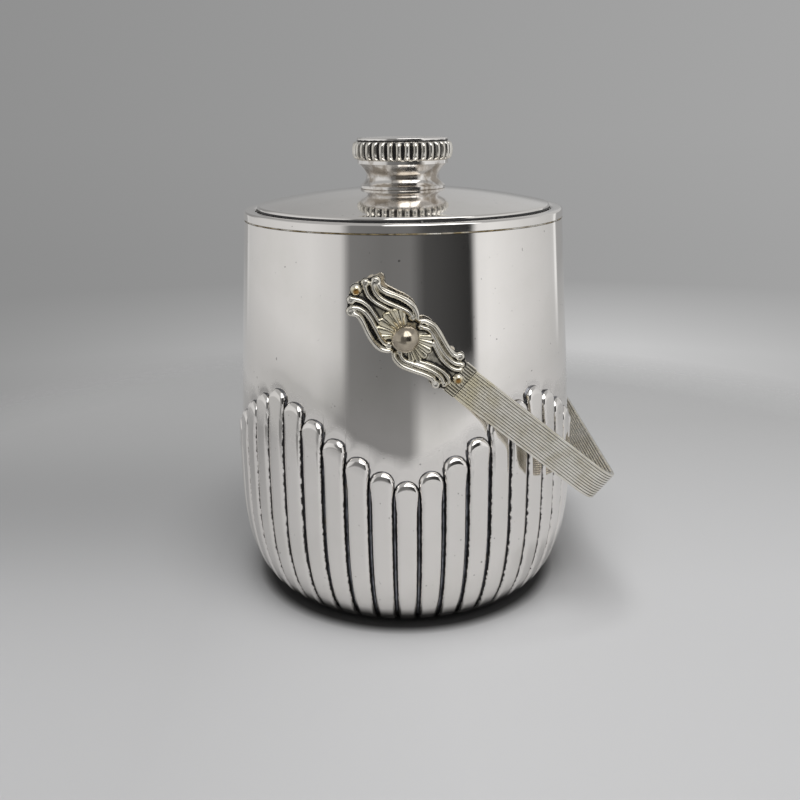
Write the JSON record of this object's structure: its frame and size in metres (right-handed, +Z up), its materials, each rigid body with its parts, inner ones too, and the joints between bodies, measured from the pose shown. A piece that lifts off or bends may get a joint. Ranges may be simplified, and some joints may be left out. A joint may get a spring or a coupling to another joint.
{
  "type": "ice bucket",
  "caption": "Round insulated ice bucket with a fluted plated shell, lift-off domed lid with ribbed knob, and a reeded swing handle on ball-headed pivots.",
  "frame": {"origin": "centre of the flat underside of the base plate, on the bucket's turning axis", "axes": "+Z up along the turning axis, -Y towards the front pivot, +X towards the side where the handle hangs at rest"},
  "size_m": [0.16, 0.1684, 0.1943],
  "materials": {
    "polished_plate": "polished silver plate, lightly scratched",
    "oxidised_plate": "silver plate with dark oxide in the recesses",
    "worn_brass": "brass showing through worn plate",
    "liner_metal": "satin",
    "foam": "rigid insulating foam",
    "turned_brass": "turned"
  },
  "bodies": {
    "bucket": {"body_shell": "polished_plate", "base_plate": "turned_brass", "insulation_sleeve": "foam", "insulation_disc": "foam", "inner_liner": "liner_metal", "rim_collar": "polished_plate", "rim_bead": "worn_brass", "pivot_stud_front": "polished_plate", "pivot_stud_rear": "polished_plate", "pivot_spacer_front": "polished_plate", "pivot_spacer_rear": "polished_plate", "pivot_nut_front": "turned_brass", "pivot_nut_rear": "turned_brass"},
    "lid": {"lid_shell": "polished_plate", "lid_pan": "liner_metal", "lid_insulation": "foam", "knob_body": "polished_plate", "knob_ring": "oxidised_plate", "knob_cap": "polished_plate", "knob_screw": "turned_brass", "knob_washer": "turned_brass"},
    "handle": {"handle_strap": "oxidised_plate", "cartouche_front": "oxidised_plate", "cartouche_rear": "oxidised_plate"}
  },
  "joints": [
    {"name": "lid_lift", "type": "slide", "parent": "bucket", "child": "lid", "axis": [0, 0, 1], "range_m": [0, 0.09]},
    {"name": "handle_swing", "type": "hinge", "parent": "bucket", "child": "handle", "pos_m": [0, 0, 0.1266], "axis": [0, -1, 0], "range_deg": [0, 260.7]}
  ]
}
